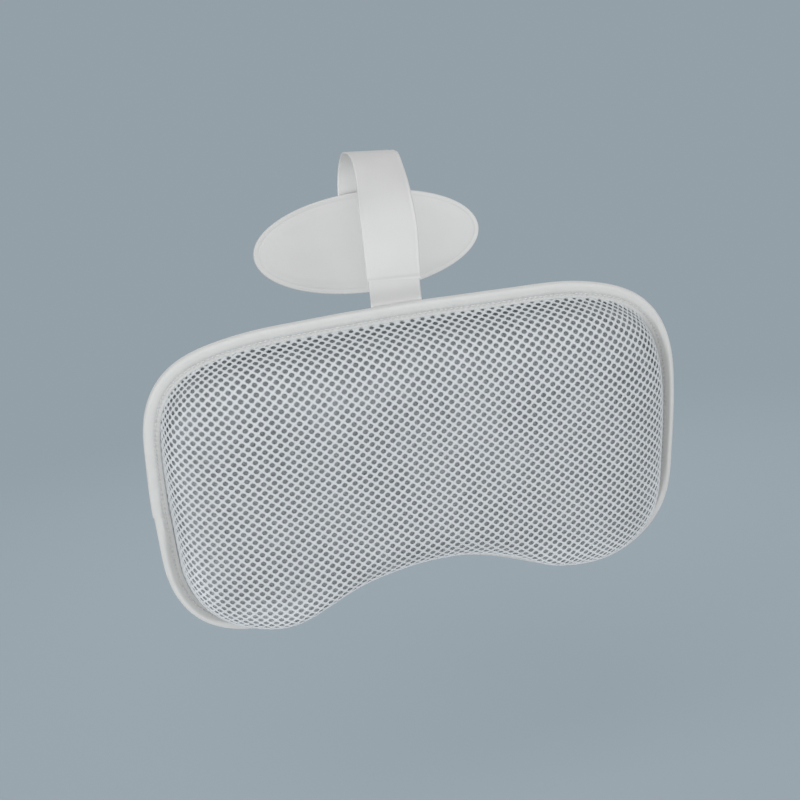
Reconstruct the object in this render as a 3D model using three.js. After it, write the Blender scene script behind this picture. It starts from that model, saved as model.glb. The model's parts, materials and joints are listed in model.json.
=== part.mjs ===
// Bath pillow that hangs over the rim of a tub: a net-covered cushion inside the tub,
// a soft strap folded over the rim, and a weighted oval pad outside.
// Millimetres. +X to the right, +Y out of the tub, +Z up. The origin is under the strap's crown,
// in the middle of its level stretch, where the rim carries it.
import * as THREE from 'three';

// Cushion outline, seen from the front and measured from the seam's level line
const cushionWidth = 320;
const upperHeight = 129;
const lobeDrop = 79;
const notchDepth = 39.7;
const notchHalfWidth = 81;
const topSag = 1.4;
const upperSpread = 4.6;
const topSquareness = 4.7;
const lobeSquareness = 2.95;
const notchSquareness = 2.5;

// Cushion depth: a crowned front, fuller low down where the neck rests, and a flat back
const crownDepth = 37.5;
const lowerExtraDepth = 4;
const crownHeight = 25;
const flankSquareness = 4.85;
const crownSquareness = 2.36;

// Fabrics, filling and thread
const coverThickness = 1.2;
const panelThickness = 1;
const foamMargin = 4;
const threadRadius = 0.4;

// Edge binding: a tape folded over the edges of the cover and the back panel
const bindingWidth = 8.4;
const tapeThickness = 1.2;
const seamInset = 5.6;

// Strap: one strip, from the lap on the tab, over the rim, to the back of the pad
const strapWidth = 30;
const strapThickness = 1.2;
const strapOffset = -6.7;
const crownLevel = 8.2;
const frontBend = 20;
const rearBend = 39;
const frontLegLength = 47.5;
const tailOverlap = 30;
const foldLength = 8;

// Tab: a short strip sewn to the back of the cushion and lapped behind the strap's front leg
const lapLength = 14;
const tabRise = 12.5;
const tabStandoff = 3.5;
const tabSewnLength = 40;
const tabStepSlope = 2;
const tabStitchMargin = 4;
const tabStitchHeight = 18;
const cushionTilt = 10.5;

// Weighted pad: two oval sheets welded round the rim, with a plate between them
const padWidth = 142;
const padOffset = -0.8;
const padHeight = 62;
const padDrop = 55;
const weldWidth = 3.5;
const weldForward = 1;
const shoulderWidth = 5;
const sheetThickness = 0.9;
const plateThickness = 3;
const padHingeRise = 3;

// Clearance between pieces that touch on the real object
const clearance = 0.3;

// Counts of facets
const outlineSamples = 720;
const outlineSteps = 64;
const foamSteps = 56;
const crownRings = 8;
const bendSteps = 9;
const foldSteps = 3;
const tailSteps = 4;
const tapeSteps = 6;
const padSteps = 48;
const threadSides = 5;

const degree = Math.PI / 180;

// Materials, in the photograph's pale greys
function material(color, roughness, metalness = 0) {
  return new THREE.MeshStandardMaterial({ color, roughness, metalness });
}

const netCloth = material(0xd4d9dd, 0.75);
const foam = material(0x86898c, 0.95);
const backCloth = material(0xc9cdd0, 0.8);
const tape = material(0xcfd3d5, 0.8);
const thread = material(0xdcdfe1, 0.7);
const softPvc = material(0xd0d2d2, 0.35);
const steel = material(0x8c8f92, 0.45, 1);

// Closed surfaces

// Turns a mesh's faces outwards if its signed volume is negative
function facingOut(points, faces) {
  let volume = 0;
  for (const [a, b, c] of faces) {
    volume += points[a].dot(new THREE.Vector3().crossVectors(points[b], points[c]));
  }
  return volume > 0 ? faces : faces.map(([a, b, c]) => [a, c, b]);
}

function solidGeometry(points, faces) {
  const geometry = new THREE.BufferGeometry();
  geometry.setFromPoints(points);
  geometry.setIndex(facingOut(points, faces).flat());
  geometry.computeVertexNormals();
  return geometry;
}

function joinRings(faces, first, second, size) {
  for (let i = 0; i < size; i += 1) {
    const next = (i + 1) % size;
    faces.push([first + i, first + next, second + i]);
    faces.push([first + next, second + next, second + i]);
  }
}

// A body skinned over rings of equal size, closed by a point at each end
function ringBody(firstPole, rings, lastPole) {
  const size = rings[0].length;
  const points = rings.flat();
  const faces = [];
  for (let k = 0; k + 1 < rings.length; k += 1) {
    joinRings(faces, k * size, (k + 1) * size, size);
  }
  const first = points.push(firstPole) - 1;
  const last = points.push(lastPole) - 1;
  const end = (rings.length - 1) * size;
  for (let i = 0; i < size; i += 1) {
    const next = (i + 1) % size;
    faces.push([first, next, i]);
    faces.push([last, end + i, end + next]);
  }
  return solidGeometry(points, faces);
}

// A closed loop skinned over its cross-sections
function loopBody(sections) {
  const size = sections[0].length;
  const faces = [];
  for (let k = 0; k < sections.length; k += 1) {
    joinRings(faces, k * size, ((k + 1) % sections.length) * size, size);
  }
  return solidGeometry(sections.flat(), faces);
}

// A strip of even thickness whose side view follows a path of (y, z) points, as wide as the strap
function strip(path) {
  const sides = [[], []];
  path.forEach((point, i) => {
    const before = path[Math.max(i - 1, 0)];
    const after = path[Math.min(i + 1, path.length - 1)];
    const along = after.clone().sub(before).normalize();
    const across = new THREE.Vector2(-along.y, along.x).multiplyScalar(strapThickness / 2);
    sides[0].push(point.clone().add(across));
    sides[1].push(point.clone().sub(across));
  });
  const shape = new THREE.Shape([...sides[0], ...sides[1].reverse()]);
  const geometry = new THREE.ExtrudeGeometry(shape, { depth: strapWidth, bevelEnabled: false });
  geometry.translate(0, 0, -strapWidth / 2);
  const sideView = new THREE.Matrix4().makeBasis(
    new THREE.Vector3(0, 1, 0),
    new THREE.Vector3(0, 0, 1),
    new THREE.Vector3(1, 0, 0),
  );
  return geometry.applyMatrix4(sideView);
}

function arc(centre, radius, fromAngle, toAngle, steps) {
  return Array.from({ length: steps + 1 }, (_, i) => {
    const angle = fromAngle + ((toAngle - fromAngle) * i) / steps;
    return new THREE.Vector2(
      centre.x + radius * Math.cos(angle),
      centre.y + radius * Math.sin(angle),
    );
  });
}

// Cushion outline: two superellipse halves, with a notch pressed up between the lower lobes
function outlineAt(angle) {
  const c = Math.cos(angle);
  const s = Math.sin(angle);
  const upper = s >= 0;
  const power = 2 / (upper ? topSquareness : lobeSquareness);
  const rise = Math.abs(s) ** power;
  const half = cushionWidth / 2;
  const level = Math.sign(c) * Math.abs(c) ** power;
  let z = (upper ? upperHeight : -lobeDrop) * rise;
  const x = level * (half + (upperSpread * z) / upperHeight);
  if (upper) {
    z -= topSag * level ** 2 * Math.abs(s);
  } else {
    z += notchDepth * rise * Math.exp(-(Math.abs(x / notchHalfWidth) ** notchSquareness));
  }
  return new THREE.Vector2(x, z);
}

// The outline in even steps, moved inwards by an inset
function outline(steps, inset) {
  const turn = (2 * Math.PI) / outlineSamples;
  const dense = Array.from({ length: outlineSamples }, (_, i) => outlineAt(i * turn));
  const curve = new THREE.Path([...dense, dense[0]]);
  const even = curve.getSpacedPoints(steps).slice(0, steps);
  return even.map((point, i) => {
    const along = even[(i + 1) % steps].clone().sub(even[(i + steps - 1) % steps]).normalize();
    return new THREE.Vector2(point.x - along.y * inset, point.y + along.x * inset);
  });
}

// One ring of the crowned front: 0 at the rim of the crown, 1 at its middle
function crownRing(rim, level, baseDepth, depth) {
  const turn = (level * Math.PI) / 2;
  const spread = Math.cos(turn) ** (2 / flankSquareness);
  const rise = Math.sin(turn) ** (2 / crownSquareness);
  return rim.map((point) => {
    const x = point.x * spread;
    const z = crownHeight + (point.y - crownHeight) * spread;
    const low = (crownHeight - z) / (crownHeight + lobeDrop);
    return new THREE.Vector3(x, -baseDepth - (depth + lowerExtraDepth * low) * rise, z);
  });
}

function crownRingsFor(rim, baseDepth, depth) {
  return Array.from({ length: crownRings }, (_, i) => crownRing(rim, i / crownRings, baseDepth, depth));
}

function crownPole(baseDepth, depth) {
  return new THREE.Vector3(0, -baseDepth - depth, crownHeight);
}

function flatRing(points, y) {
  return points.map((point) => new THREE.Vector3(point.x, y, point.y));
}

// Cushion pieces. The cover's and the panel's hems lie in the fold of the binding.
const coverBack = clearance;
const coverFront = coverBack + coverThickness;
const panelOuter = clearance + panelThickness;
const slotHalf = Math.max(coverFront, panelOuter) + clearance;
const bindingHalf = slotHalf + tapeThickness;
const hemInset = bindingHalf + clearance;
const coverRimInset = bindingWidth + clearance;
const foamRimInset = coverRimInset + coverThickness + foamMargin;

function frontCover() {
  const hem = outline(outlineSteps, hemInset);
  const outerRim = outline(outlineSteps, coverRimInset);
  const innerRim = outline(outlineSteps, coverRimInset + coverThickness);
  const outer = crownRingsFor(outerRim, coverFront, crownDepth).reverse();
  const inner = crownRingsFor(innerRim, coverBack, crownDepth);
  return ringBody(
    crownPole(coverFront, crownDepth),
    [...outer, flatRing(hem, -coverFront), flatRing(hem, -coverBack), ...inner],
    crownPole(coverBack, crownDepth),
  );
}

function foamCore() {
  const rim = outline(foamSteps, foamRimInset);
  const depth = crownDepth - clearance;
  const front = crownRingsFor(rim, coverBack, depth).reverse();
  const rear = new THREE.Vector3(0, 0, crownHeight);
  return ringBody(crownPole(coverBack, depth), [...front, flatRing(rim, 0)], rear);
}

function backPanel() {
  const edge = outline(outlineSteps, hemInset);
  const open = outline(outlineSteps, bindingWidth + 2 * clearance);
  const rings = [flatRing(edge, clearance), flatRing(edge, panelOuter), flatRing(open, panelOuter)];
  return ringBody(new THREE.Vector3(0, clearance, 0), rings, new THREE.Vector3(0, panelOuter, 0));
}

// The tape's section: inset from the outline and depth, round outside, open towards the cushion
function bindingSection() {
  const round = arc(new THREE.Vector2(bindingHalf, 0), bindingHalf, Math.PI / 2, 1.5 * Math.PI, tapeSteps);
  return [
    [bindingWidth, slotHalf],
    [bindingWidth, bindingHalf],
    ...round.map((point) => [point.x, point.y]),
    [bindingWidth, -bindingHalf],
    [bindingWidth, -slotHalf],
    [bindingHalf, -slotHalf],
    [bindingHalf, slotHalf],
  ];
}

function edgeBinding() {
  const section = bindingSection();
  const bands = section.map(([inset, y]) => flatRing(outline(outlineSteps, inset), y));
  return loopBody(Array.from({ length: outlineSteps }, (_, i) => bands.map((band) => band[i])));
}

// A seam's thread on the tape: side -1 is the front, 1 the back
function bindingThread(side) {
  const seat = bindingHalf + clearance + threadRadius;
  const bands = Array.from({ length: threadSides }, (_, i) => {
    const angle = (i * 2 * Math.PI) / threadSides;
    const inset = seamInset + threadRadius * Math.cos(angle);
    return flatRing(outline(outlineSteps, inset), side * seat + threadRadius * Math.sin(angle));
  });
  return loopBody(Array.from({ length: outlineSteps }, (_, i) => bands.map((band) => band[i])));
}

// Tab on the back of the cushion, in the cushion's own frame
const tabInner = bindingHalf + clearance + 2 * threadRadius + clearance;
const tabMiddle = tabInner + strapThickness / 2;
const tabOnPanel = panelOuter + clearance + strapThickness / 2;
const tabHinge = new THREE.Vector2(tabMiddle, upperHeight + tabStandoff);
const sewnTop = tabHinge.y - foldLength / 2 - clearance;
const tabStep = tabStepSlope * (tabMiddle - tabOnPanel);
const tabStepTop = upperHeight - bindingWidth - clearance - strapThickness;

function tabSewnEnd() {
  return strip([
    new THREE.Vector2(tabMiddle, sewnTop),
    new THREE.Vector2(tabMiddle, tabStepTop),
    new THREE.Vector2(tabOnPanel, tabStepTop - tabStep),
    new THREE.Vector2(tabOnPanel, tabStepTop - tabStep - tabSewnLength),
  ]);
}

// A box of stitches through the tab's sewn end
function tabStitch() {
  const halfWidth = strapWidth / 2 - tabStitchMargin;
  const bottom = tabStepTop - tabStep - tabSewnLength + tabStitchMargin;
  const top = bottom + tabStitchHeight;
  const seat = tabOnPanel + strapThickness / 2 + clearance + threadRadius;
  const corners = [
    [halfWidth, top],
    [-halfWidth, top],
    [-halfWidth, bottom],
    [halfWidth, bottom],
  ];
  const middle = (top + bottom) / 2;
  const sections = corners.map(([x, z]) => {
    const outward = new THREE.Vector3(Math.sign(x), 0, Math.sign(z - middle));
    return Array.from({ length: threadSides }, (_, i) => {
      const angle = (i * 2 * Math.PI) / threadSides;
      const point = new THREE.Vector3(x, seat + threadRadius * Math.sin(angle), z);
      return point.addScaledVector(outward, threadRadius * Math.cos(angle));
    });
  });
  return loopBody(sections);
}

// Strap, in the part's frame: side view points are (y, z)
const crownMiddle = strapThickness / 2;
const frontLegY = -crownLevel / 2 - frontBend;
const rearLegY = crownLevel / 2 + rearBend;
const frontCentre = new THREE.Vector2(-crownLevel / 2, crownMiddle - frontBend);
const rearCentre = new THREE.Vector2(crownLevel / 2, crownMiddle - rearBend);
const legTop = frontCentre.y;
const foldBottom = legTop - foldLength;
const legBottom = legTop - frontLegLength;

const padMiddleZ = crownMiddle - padDrop;
const padTop = padMiddleZ + padHeight / 2;
const padHingeAngle = Math.asin((padTop + padHingeRise - rearCentre.y) / rearBend);
const halfFoldAngle = foldLength / 2 / rearBend;
const foldGapAngle = clearance / rearBend;

function strapCrown() {
  const rearEnd = padHingeAngle + halfFoldAngle + foldGapAngle;
  return strip([
    ...arc(frontCentre, frontBend, Math.PI, Math.PI / 2, bendSteps),
    ...arc(rearCentre, rearBend, Math.PI / 2, rearEnd, bendSteps),
  ]);
}

function strapFrontFold() {
  return strip([
    new THREE.Vector2(frontLegY, legTop - clearance),
    new THREE.Vector2(frontLegY, foldBottom),
  ]);
}

function strapFrontLeg() {
  return strip([
    new THREE.Vector2(frontLegY, foldBottom - clearance),
    new THREE.Vector2(frontLegY, legBottom),
  ]);
}

function strapRearFold() {
  const from = padHingeAngle + halfFoldAngle;
  const to = padHingeAngle - halfFoldAngle;
  return strip(arc(rearCentre, rearBend, from, to, foldSteps));
}

function strapTail() {
  const from = padHingeAngle - halfFoldAngle - foldGapAngle;
  return strip([
    ...arc(rearCentre, rearBend, from, 0, tailSteps),
    new THREE.Vector2(rearLegY, padTop - tailOverlap),
  ]);
}

// Tab above the cushion: its fold, and its lap behind the strap's front leg
const lapY = frontLegY + strapThickness + clearance;
const tabHingeZ = legBottom - tabRise;

function tabFold() {
  const lean = cushionTilt * degree;
  const half = foldLength / 2;
  return strip([
    new THREE.Vector2(lapY + half * Math.sin(lean), tabHingeZ - half * Math.cos(lean)),
    new THREE.Vector2(lapY, tabHingeZ),
    new THREE.Vector2(lapY, tabHingeZ + half),
  ]);
}

function tabLap() {
  return strip([
    new THREE.Vector2(lapY, tabHingeZ + foldLength / 2 + clearance),
    new THREE.Vector2(lapY, legBottom + lapLength),
  ]);
}

// Weighted pad, about its own middle
const weldHalf = clearance / 2;
const pocketHalf = plateThickness / 2 + clearance;

function ovalRing(inset, y) {
  return Array.from({ length: padSteps }, (_, i) => {
    const angle = (i * 2 * Math.PI) / padSteps;
    const x = (padWidth / 2 - inset) * Math.cos(angle);
    return new THREE.Vector3(x, y, (padHeight / 2 - inset) * Math.sin(angle));
  });
}

// One sheet: flat weld round the rim, a shoulder, and a level middle; side -1 is the front
function pocketSheet(side) {
  const bulge = weldWidth + shoulderWidth;
  const outer = (y) => side * (y + sheetThickness);
  const weldInside = weldHalf - side * weldForward;
  const rings = [
    ovalRing(bulge, outer(pocketHalf)),
    ovalRing(weldWidth, outer(weldInside)),
    ovalRing(0, outer(weldInside)),
    ovalRing(0, side * weldInside),
    ovalRing(weldWidth + sheetThickness, side * weldInside),
    ovalRing(bulge + sheetThickness, side * pocketHalf),
  ];
  const outerPole = new THREE.Vector3(0, outer(pocketHalf), 0);
  return ringBody(outerPole, rings, new THREE.Vector3(0, side * pocketHalf, 0));
}

function weightPlate() {
  const inset = weldWidth + shoulderWidth + 2 * sheetThickness;
  const half = plateThickness / 2;
  const rings = [ovalRing(inset, -half), ovalRing(inset, half)];
  return ringBody(new THREE.Vector3(0, -half, 0), rings, new THREE.Vector3(0, half, 0));
}

// The pad hangs in front of the strap's tail, clear of it at the weld and at the bulge
function padPlaneY() {
  const innerBend = rearBend - strapThickness / 2;
  const above = Math.max(padTop - rearCentre.y, 0);
  const strapAtRim = rearCentre.x + Math.sqrt(innerBend ** 2 - above ** 2);
  const weldBack = weldHalf + sheetThickness - weldForward;
  const bulgeBack = pocketHalf + sheetThickness;
  const strapAtBulge = rearLegY - strapThickness / 2;
  return Math.min(strapAtRim - weldBack, strapAtBulge - bulgeBack) - clearance;
}

// Assembly
function piece(name, geometry, look) {
  const mesh = new THREE.Mesh(geometry, look);
  mesh.name = name;
  return mesh;
}

function cushion() {
  const group = new THREE.Group();
  const tab = new THREE.Group();
  tab.position.x = strapOffset;
  tab.add(piece('tab_sewn_end', tabSewnEnd(), softPvc), piece('tab_stitch', tabStitch(), thread));
  group.add(
    piece('front_mesh_cover', frontCover(), netCloth),
    piece('foam_core', foamCore(), foam),
    piece('back_panel', backPanel(), backCloth),
    piece('edge_binding', edgeBinding(), tape),
    piece('binding_top_thread', bindingThread(-1), thread),
    piece('binding_under_thread', bindingThread(1), thread),
    tab,
  );
  group.position.set(-strapOffset, -tabHinge.x, -tabHinge.y);
  const hung = new THREE.Group();
  hung.rotation.x = cushionTilt * degree;
  hung.position.set(0, lapY, tabHingeZ);
  hung.add(group);
  return hung;
}

function strap() {
  const group = new THREE.Group();
  group.add(
    piece('tab_fold', tabFold(), softPvc),
    piece('tab_lap', tabLap(), softPvc),
    piece('strap_front_leg', strapFrontLeg(), softPvc),
    piece('strap_front_fold', strapFrontFold(), softPvc),
    piece('strap_crown', strapCrown(), softPvc),
    piece('strap_rear_fold', strapRearFold(), softPvc),
    piece('strap_tail', strapTail(), softPvc),
  );
  return group;
}

function pad() {
  const group = new THREE.Group();
  group.add(
    piece('pocket_front_sheet', pocketSheet(-1), softPvc),
    piece('pocket_back_sheet', pocketSheet(1), softPvc),
    piece('counterweight_plate', weightPlate(), steel),
  );
  group.position.set(padOffset, padPlaneY(), padMiddleZ);
  return group;
}

const bathPillow = new THREE.Group();
bathPillow.add(cushion(), strap(), pad());

export default bathPillow;
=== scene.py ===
"""Bath pillow: the looks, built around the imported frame.

A net-covered cushion with a bound edge hangs from a soft strap that folds over a tub's rim and ends in a
weighted oval pad. Lengths are in millimetres and become metres when a mesh is made; the stage, the lamps
and the flat sizes are in metres. The cushion is shaped in its own frame, x to the right, y to the back,
z up from the line where its lobes start, and is then hung.
"""
import json
import math

import bpy
import numpy as np
from mathutils import Matrix, Vector


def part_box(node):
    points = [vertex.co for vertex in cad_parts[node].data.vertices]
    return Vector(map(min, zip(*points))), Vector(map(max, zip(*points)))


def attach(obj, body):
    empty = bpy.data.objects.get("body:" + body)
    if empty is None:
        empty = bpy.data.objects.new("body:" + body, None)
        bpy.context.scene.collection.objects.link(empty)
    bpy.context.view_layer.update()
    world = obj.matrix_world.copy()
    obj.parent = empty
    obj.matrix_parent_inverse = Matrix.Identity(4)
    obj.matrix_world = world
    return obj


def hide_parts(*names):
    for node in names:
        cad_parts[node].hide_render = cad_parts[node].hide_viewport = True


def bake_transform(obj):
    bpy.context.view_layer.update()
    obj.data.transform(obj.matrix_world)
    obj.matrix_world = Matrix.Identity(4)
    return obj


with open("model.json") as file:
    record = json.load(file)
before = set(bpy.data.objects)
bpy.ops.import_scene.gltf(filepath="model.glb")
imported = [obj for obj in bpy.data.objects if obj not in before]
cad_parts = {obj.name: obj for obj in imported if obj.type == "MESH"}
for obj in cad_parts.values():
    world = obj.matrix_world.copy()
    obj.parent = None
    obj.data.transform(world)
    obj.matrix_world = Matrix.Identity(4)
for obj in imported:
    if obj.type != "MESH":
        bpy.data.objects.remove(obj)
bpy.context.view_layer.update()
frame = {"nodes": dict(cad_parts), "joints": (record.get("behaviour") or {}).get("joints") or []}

MM = 0.001
TINY = 1e-9

# Cushion outline and depth
CUSHION_WIDTH = 320
UPPER_HEIGHT = 129
LOBE_DROP = 79
NOTCH_DEPTH = 39.7
NOTCH_HALF_WIDTH = 81
TOP_SAG = 1.4
UPPER_SPREAD = 4.6
TOP_SQUARENESS = 4.7
LOBE_SQUARENESS = 2.95
NOTCH_SQUARENESS = 2.5
CROWN_DEPTH = 37.5
LOWER_EXTRA_DEPTH = 4
CROWN_HEIGHT = 25
FLANK_SQUARENESS = 4.85
CROWN_SQUARENESS = 2.36
CUSHION_TILT = 10.5
STRAP_OFFSET = -6.7
TAB_MIDDLE = 5.0
TAB_STANDOFF = 3.5

# Slope of the front where it leaves the binding, gentler at the heights of the top edge
RIM_SLOPE = 6
TOP_RIM_SLOPE = 3
TOP_HEIGHTS = (60, 112)
RIM_EASE = 4
LEAST_SLANT = 1e-6

# Slow swells of the whole front: radians a millimetre across and up, and phase
UNEVEN_SHARE = 0.006
UNEVEN_WAVES = ((0.021, 0.034, 0.4), (-0.017, 0.047, 1.9), (0.043, 0.012, 2.6), (0.05, -0.038, 0.8))

# Swells of the front's lower part: place, radius and share of the depth
LOBE_SWELLS = (
    (-90, -62, 32, 0.1),
    (-36, -50, 15, -0.05),
    (-12, -40, 20, 0.03),
    (20, -45, 18, 0.03),
    (66, -46, 14, 0.1),
    (97, -50, 15, -0.03),
)

# Sag of the left lobe over the binding: middle, reach and amount, and where it sets in
LOBE_SAG = (-90, 24, 3.0)
SAG_HEIGHTS = (20, -60)
SAG_DEPTH = 20

# Drift of the sewn outline: angle round the middle, half width of the drift and millimetres outward
OUTLINE_SWELLS = (
    (26, 13, -1.7),
    (62, 12, -0.9),
    (118, 14, -0.5),
    (148, 8, 0.6),
    (168, 12, -0.9),
    (209, 7, 0.9),
    (230, 10, -2.9),
    (336, 13, -1.2),
)

# Net: a diamond grid of knitted strands, its pitches counted each way from the middle
NET_PITCH_X = 6.03
NET_PITCH_Z = 5.52
NET_COLUMNS = 31
NET_ROWS = 24
STEPS_PER_PITCH = 4
HOLE_SHARE_AT_KNOT = 0.53
HOLE_SHARE_AT_STRAND = 0.73
STRAND_CREST = 0.5
KNOT_CREST = 0.6
STRAND_EDGE = 0.05
# Painted highlight on the strands' crests and painted shade where they fall to the holes
CREST_PAINTED_LIGHT = 1.04
RING_PAINTED_SHADE = 0.84
SHARP_ANGLE = 88
STRAND_BACK = -0.9
NET_RIM_INSET = 9.1
NET_BACK = 0.9
NET_HEM_INSET = 3.7
NET_LAST_HOLE_INSET = 5.5
HEM_REACH = 12
TOP_HEM_REACH = 3.5
TOP_RIM_GAIN = 0.8
HEM_HOLE_SHARE = 0.3

# Flanks and low front, given painted light where light coming back from below would reach: slopes, heights
# and gains
FLANK_SLOPES = (0.25, 1.2)
LOW_FLANK_HEIGHTS = (30, -30)
LOW_FRONT_HEIGHTS = (-15, -55)
NET_FLANK_PAINTED_LIGHT = 0.14
FOAM_FLANK_PAINTED_LIGHT = 0.35

# Filling: a block that stops short of the top seam
FOAM_GAP = 2.3
FOAM_INSET = 10.9
FOAM_TOP_INSET = 2.4
FOAM_TOP_HEIGHTS = (72, 110)
FOAM_LAST_TURN = 0.995

# Corners that the filling leaves empty: angle round the middle, half width and millimetres inward
FOAM_CORNERS = ((30, 13, 6), (151, 9, 5))

# Back panel: a puff that fades at the seam and by the tab
PANEL_INSET = 3.3
PANEL_INNER = 0.3
PANEL_OUTER = 1.3
PANEL_PUFF = 1.5
PUFF_INSETS = (8, 60)
PUFF_FROM_TAB = (3, 40)
MIDDLE_SHARE = 0.004

# Puckers along the back panel's seam: each wave's length and phase
PUCKER_WAVES = ((2.1, 0.3), (3.4, 1.1), (1.3, 2.2))
PUCKER_DEPTH = 0.3
PUCKER_MIDDLE = 10
PUCKER_REACH = 16
PUCKER_INSETS = (6, 10)
PUCKER_FROM_TAB = (3, 12)

# Edge binding
TAPE_PROUD = 1.0
TAPE_WIDTH = 8.5
TAPE_HALF = 3.1
TAPE_BULGE_POWER = 0.55
SEAM_INSET = 5.6
SEAM_DEPTH = 2.45
SEAM_REACH = 1.3
SEAM_PINCH = 0.06
# Painted light on the top tape's inner band, painted shade on it at the sides
TOP_BAND_PAINTED_LIGHT = 1.05
SIDE_BAND_PAINTED_SHADE = 0.8
BAND_EASE = 1
# Painted shade in the seam's groove
SEAM_PAINTED_SHADE = 0.86

# The tape's outer face: insets past its width or past its seam, and depths
BAND_FACE = ((-0.2, 1.75), (0.1, 2.05), (-0.1, 2.45), (-0.7, 2.65), (-1.6, 2.7))
SEAM_FACE = ((0.7, 2.62), (0, SEAM_DEPTH), (-0.7, 2.7), (-1.6, 2.98))
TAPE_FACE_DEPTH = 2
BULGE_START = 2.6

# The tape's inner face
TAPE_INNER_INSETS = (TAPE_WIDTH - 0.6, 3.2)
TAPE_INNER_DEPTH = 1.6

# Unsteady sewing of the tape: depth, length and phase of each wave, and shares on the band and the bulge
TAPE_WAVES = ((0.12, 17, 0), (0.1, 7.3, 1))
BAND_DRIFT = 0.4
BULGE_DRIFT = 0.8

# Painted shade on the tape's inner band at the right side and the lower left: angle, half width, tone and
# extra width
BAND_PAINTED_SHADES = ((2, 26, 0.6, 2.5), (198, 19, 0.7, 2.5))

# Lap of the tape's two ends
TAPE_LAP_ANGLE = 181
TAPE_LAP_PROUD = 0.7
TAPE_LAP_LENGTH = 45
TAPE_LAP_EDGE = 1.6

# Stitches
STITCH_PITCH = 3.2
STITCH_LENGTH = 2.3
STITCH_RADIUS = 0.36
STITCH_SEAT = 0.05
STITCH_TAPER = 0.8
TAPER_POWER = 3
LEAST_GIRTH = 0.05
STITCH_DIP = 1.9
DIP_POWER = 2.5
STITCH_STEPS = 7
STITCH_SIDES = 6
STEPS_PER_STITCH = 4

# Strap and tab: soft strips with welded borders
STRAP_WIDTH = 31.2
TAB_WIDTH = 30
STRAP_THICKNESS = 1.2
CROWN_LEVEL = 8.2
FRONT_BEND = 20
REAR_BEND = 39
STRIP_STEP = 0.8
TAB_EASE = 12
STRIP_SHARP_ANGLE = 70
EDGE_BEAD = 1.7
FLAT_MARGIN = 6
BORDER_TINT = 1.02
TINT_FROM = -0.3
TINT_TO = 0.2

# A strip's edge and its welded line: places past the edge or past the bead, and losses of half thickness
EDGE_SECTION = ((0, 0.48), (0.12, 0.28), (0.4, 0.04), (0.9, 0))
BEAD_SECTION = ((-0.4, 0.03), (0, 0.12), (0.35, 0.12), (0.9, 0.05), (1.8, 0))

# A strip's ends, which thin out; the strap's front end also sinks to the tab, and drops at left and right
END_FROM = -0.4
END_TAPER = 7
END_THIN = 0.15
END_SINK = 1.0
END_DROPS = (0.8, 3.6)
END_DROP_REACH = 24

# How the strap lies: each swell's middle, as a length from the crown's middle to the rear, reach and amount
CROWN_LIFT = (5, 18, 2.4)
SLACK = (-20, 14, 4)
SLACK_PER_DROP = 3
LEFT_SQUARE = (-20, 14, 3.5)
LEG_BULGE = (-57, 16, 2.5)
LEG_BOW = (-57, 16, 0.7)
CROWN_NARROWING = 0.045
NARROW_SPAN = (-50, -15)

# Painted light and shade along the strap
LEG_PAINTED_LIGHT = 1.12
LEG_PAINTED_LIGHT_SPAN = (-35, -80)
BEND_PAINTED_SHADE = (-32, 12, -0.045)
LAP_LINE_PAINTED_SHADOW = 0.87
LAP_LINE_RISE = 1.4
LAP_LINE_TILT = 0.043
LAP_LINE_WIDTH = 0.8
REAR_PAINTED_LIGHT = 1.42

# Painted light on the whole tab, and painted shade and light on the tab's front near the fold: height over
# the fold, reach and change
TAB_PAINTED_LIGHT = 1.025
TAB_PAINTED_LIGHT_AND_SHADE = ((2.3, 4.2, -0.14), (-3.3, 1.5, 0.3))

# Sewn end of the tab
TAB_ON_PANEL = 2.2
TAB_STEP_TOP = 119.1
TAB_STEP = 5.6
TAB_SEWN_LENGTH = 40
TAB_SEWN_TOP = TAB_STEP_TOP - TAB_STEP
TAB_SEWN_BOTTOM = TAB_SEWN_TOP - TAB_SEWN_LENGTH
TAB_STITCH_MARGIN = 4
TAB_STITCH_HEIGHT = 18

# Weighted pad
PAD_WIDTH = 140.4
PAD_HEIGHT = 61.2
PAD_SKEW = 0.7
PAD_DOME = 0.15
WELD_WIDTH = 2.9
SHOULDER_WIDTH = 6.4
SHEET_THICKNESS = 0.9
WELD_HALF = 0.15
POCKET_HALF = 1.8
WELD_FORWARD = 1.4
WELD_GROOVE = 0.14
GROOVE_HALF = 0.45
PAD_RIM_INSETS = (0.25, 0.0, 0.08, 0.35, 0.8)
PAD_RIM_ROUND = 0.3
PAD_LAST_RING = 0.4
PAD_FACE_START = 12
SHOULDER_RINGS = (1.3, 10.5, 24)
INNER_SHOULDER_RINGS = (11, 4, 8)
INNER_EDGE = 1.0

# Painted shade and light on the pad: painted shade along the pressed line, darkest at the right end;
# painted light in the front's middle and painted shade on its left
GROOVE_PAINTED_SHADE = 0.985
GROOVE_END_PAINTED_SHADE = 0.91
GROOVE_END_SPAN = (0.6, 0.95)
PAD_MIDDLE_PAINTED_LIGHT = (13, 28, 0.13)
PAD_LEFT_PAINTED_SHADE = 0.115
PAD_PAINTED_SHADE_SPAN = (-10, -45)

# Camera at the photograph's viewing angle, in the part's frame: place, then yaw, elevation and roll
CAMERA_PLACE = (-162.65, -805.15, 68.85)
CAMERA_ANGLES = (11.4, 14.644, -6.917)
LENS = 63.79
SENSOR = 36

# Colours, linear
NET_COLOUR = (0.63, 0.665, 0.69)
FOAM_COLOUR = (0.47, 0.495, 0.515)
PANEL_COLOUR = (0.62, 0.64, 0.65)
TAPE_COLOUR = (0.7, 0.71, 0.705)
THREAD_COLOUR = (0.66, 0.67, 0.68)
PVC_COLOUR = (0.615, 0.62, 0.615)
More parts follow.
